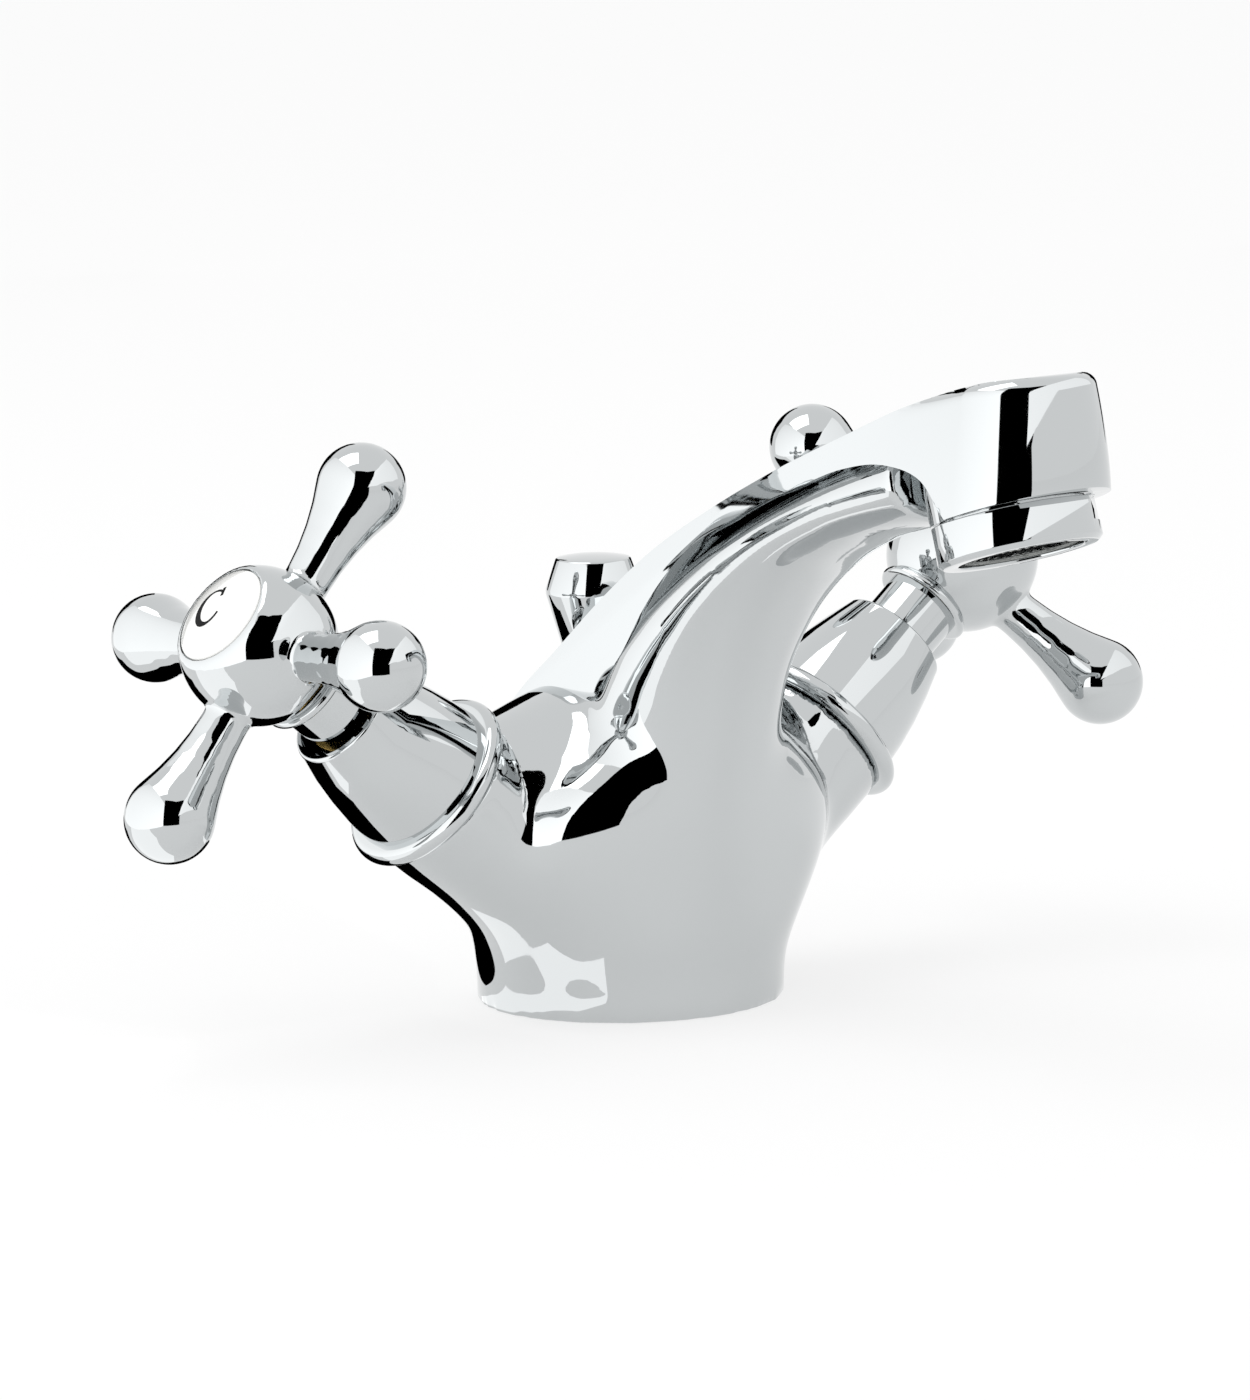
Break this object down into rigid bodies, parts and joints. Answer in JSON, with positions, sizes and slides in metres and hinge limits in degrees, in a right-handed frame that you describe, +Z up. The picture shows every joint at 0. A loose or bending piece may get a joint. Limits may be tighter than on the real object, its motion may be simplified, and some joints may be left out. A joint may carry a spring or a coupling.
{
  "type": "basin mixer tap",
  "caption": "Basin mixer tap with an arched spout, slanted arms that carry cross handles for cold and hot water, an aerator and a lift rod for a pop-up waste.",
  "frame": {"origin": "centre of the round foot, on the deck that it stands on", "axes": "+Z up, the spout reaches towards -Y, the cold handle is on the -X side and the hot handle on the +X side"},
  "size_m": [0.1845, 0.1537, 0.1093],
  "materials": {
    "chrome_body": "polished chrome plate on brass",
    "chrome_trim": "polished chrome plate",
    "brass": "turned brass",
    "steel": "stainless steel",
    "white_plastic": "glossy white",
    "grey_plastic": "moulded",
    "white_ceramic": "lapped",
    "black_rubber": "matt"
  },
  "bodies": {
    "tap_body": {"body_casting": "chrome_body", "base_gasket": "black_rubber", "aerator_collar": "chrome_trim", "aerator_washer": "black_rubber", "aerator_insert": "grey_plastic", "aerator_mesh": "steel", "rod_bush": "grey_plastic", "rod_seal": "black_rubber", "cold_shroud": "chrome_trim", "cold_headwork": "brass", "cold_headwork_seal": "black_rubber", "cold_seat_seal": "black_rubber", "cold_fixed_disc": "white_ceramic", "hot_shroud": "chrome_trim", "hot_headwork": "brass", "hot_headwork_seal": "black_rubber", "hot_seat_seal": "black_rubber", "hot_fixed_disc": "white_ceramic"},
    "pop_up_lift": {"lift_knob": "chrome_trim", "lift_rod": "chrome_trim"},
    "cold_handle": {"cold_cross_handle": "chrome_trim", "cold_index_cap": "white_plastic", "cold_handle_screw": "steel", "cold_spindle": "brass", "cold_spindle_seal": "black_rubber", "cold_retaining_clip": "steel", "cold_moving_disc": "white_ceramic"},
    "hot_handle": {"hot_cross_handle": "chrome_trim", "hot_index_cap": "white_plastic", "hot_handle_screw": "steel", "hot_spindle": "brass", "hot_spindle_seal": "black_rubber", "hot_retaining_clip": "steel", "hot_moving_disc": "white_ceramic"}
  },
  "joints": [
    {"name": "cold_turn", "type": "hinge", "parent": "tap_body", "child": "cold_handle", "pos_m": [0, 0, 0.0074], "axis": [-0.7727, 0, 0.6347], "range_deg": [0, 90]},
    {"name": "hot_turn", "type": "hinge", "parent": "tap_body", "child": "hot_handle", "pos_m": [0, 0, 0.0074], "axis": [0.7727, 0, 0.6347], "range_deg": [0, 90]},
    {"name": "rod_lift", "type": "slide", "parent": "tap_body", "child": "pop_up_lift", "axis": [0, 0, 1], "range_m": [0, 0.016]}
  ]
}
